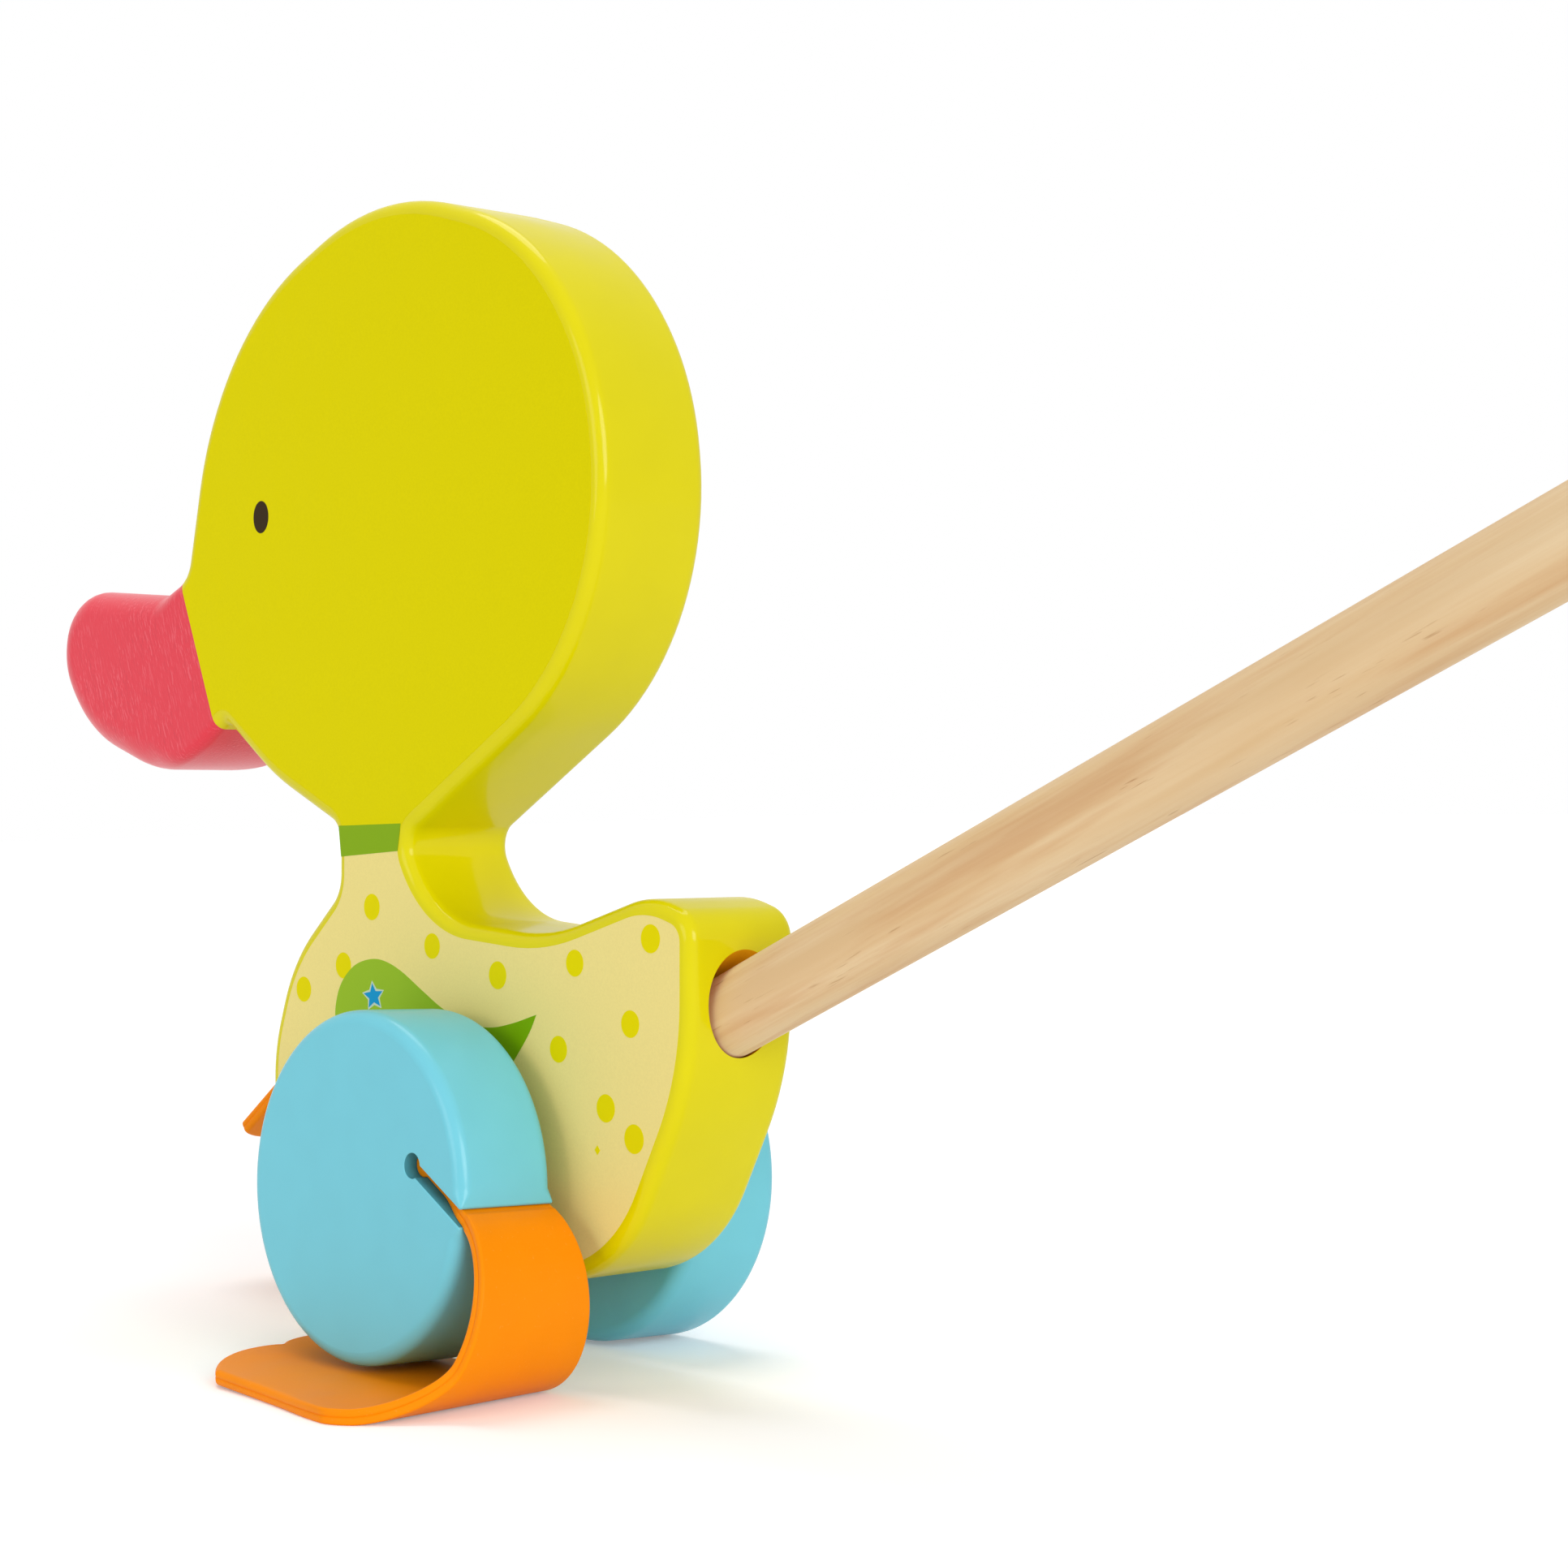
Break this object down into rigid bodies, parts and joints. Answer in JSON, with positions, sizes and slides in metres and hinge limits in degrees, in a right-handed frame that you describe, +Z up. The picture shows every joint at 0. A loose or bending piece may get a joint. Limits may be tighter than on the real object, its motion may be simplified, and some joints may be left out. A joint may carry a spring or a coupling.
{
  "type": "push-along toy",
  "caption": "Push-along wooden duck on a stick, with a wheel on each side and rubber feet set in the wheels that slap the floor as they turn",
  "frame": {"origin": "on the floor, straight below the middle of the axle", "axes": "+X runs from the duck towards the stick's grip, -Y is the duck's left side, +Z is up"},
  "size_m": [0.6217, 0.1182, 0.2567],
  "materials": {
    "yellow_paint": "satin",
    "red_stain": "satin",
    "print": "satin",
    "bare_wood": "satin",
    "blue_paint": "satin",
    "orange_rubber": "satin"
  },
  "bodies": {
    "duck": {"duck_body": "yellow_paint", "beak": "red_stain", "left_print": "print", "right_print": "print", "stick": "bare_wood", "grip": "bare_wood"},
    "wheelset": {"axle": "bare_wood", "left_spacer": "bare_wood", "right_spacer": "bare_wood", "left_wheel": "blue_paint", "right_wheel": "blue_paint", "left_foot": "orange_rubber", "right_foot": "orange_rubber"}
  },
  "joints": [
    {"name": "wheel_spin", "type": "hinge", "parent": "duck", "child": "wheelset", "pos_m": [0, 0, 0.03285], "axis": [0, 0.9984, -0.0557], "continuous": true}
  ]
}
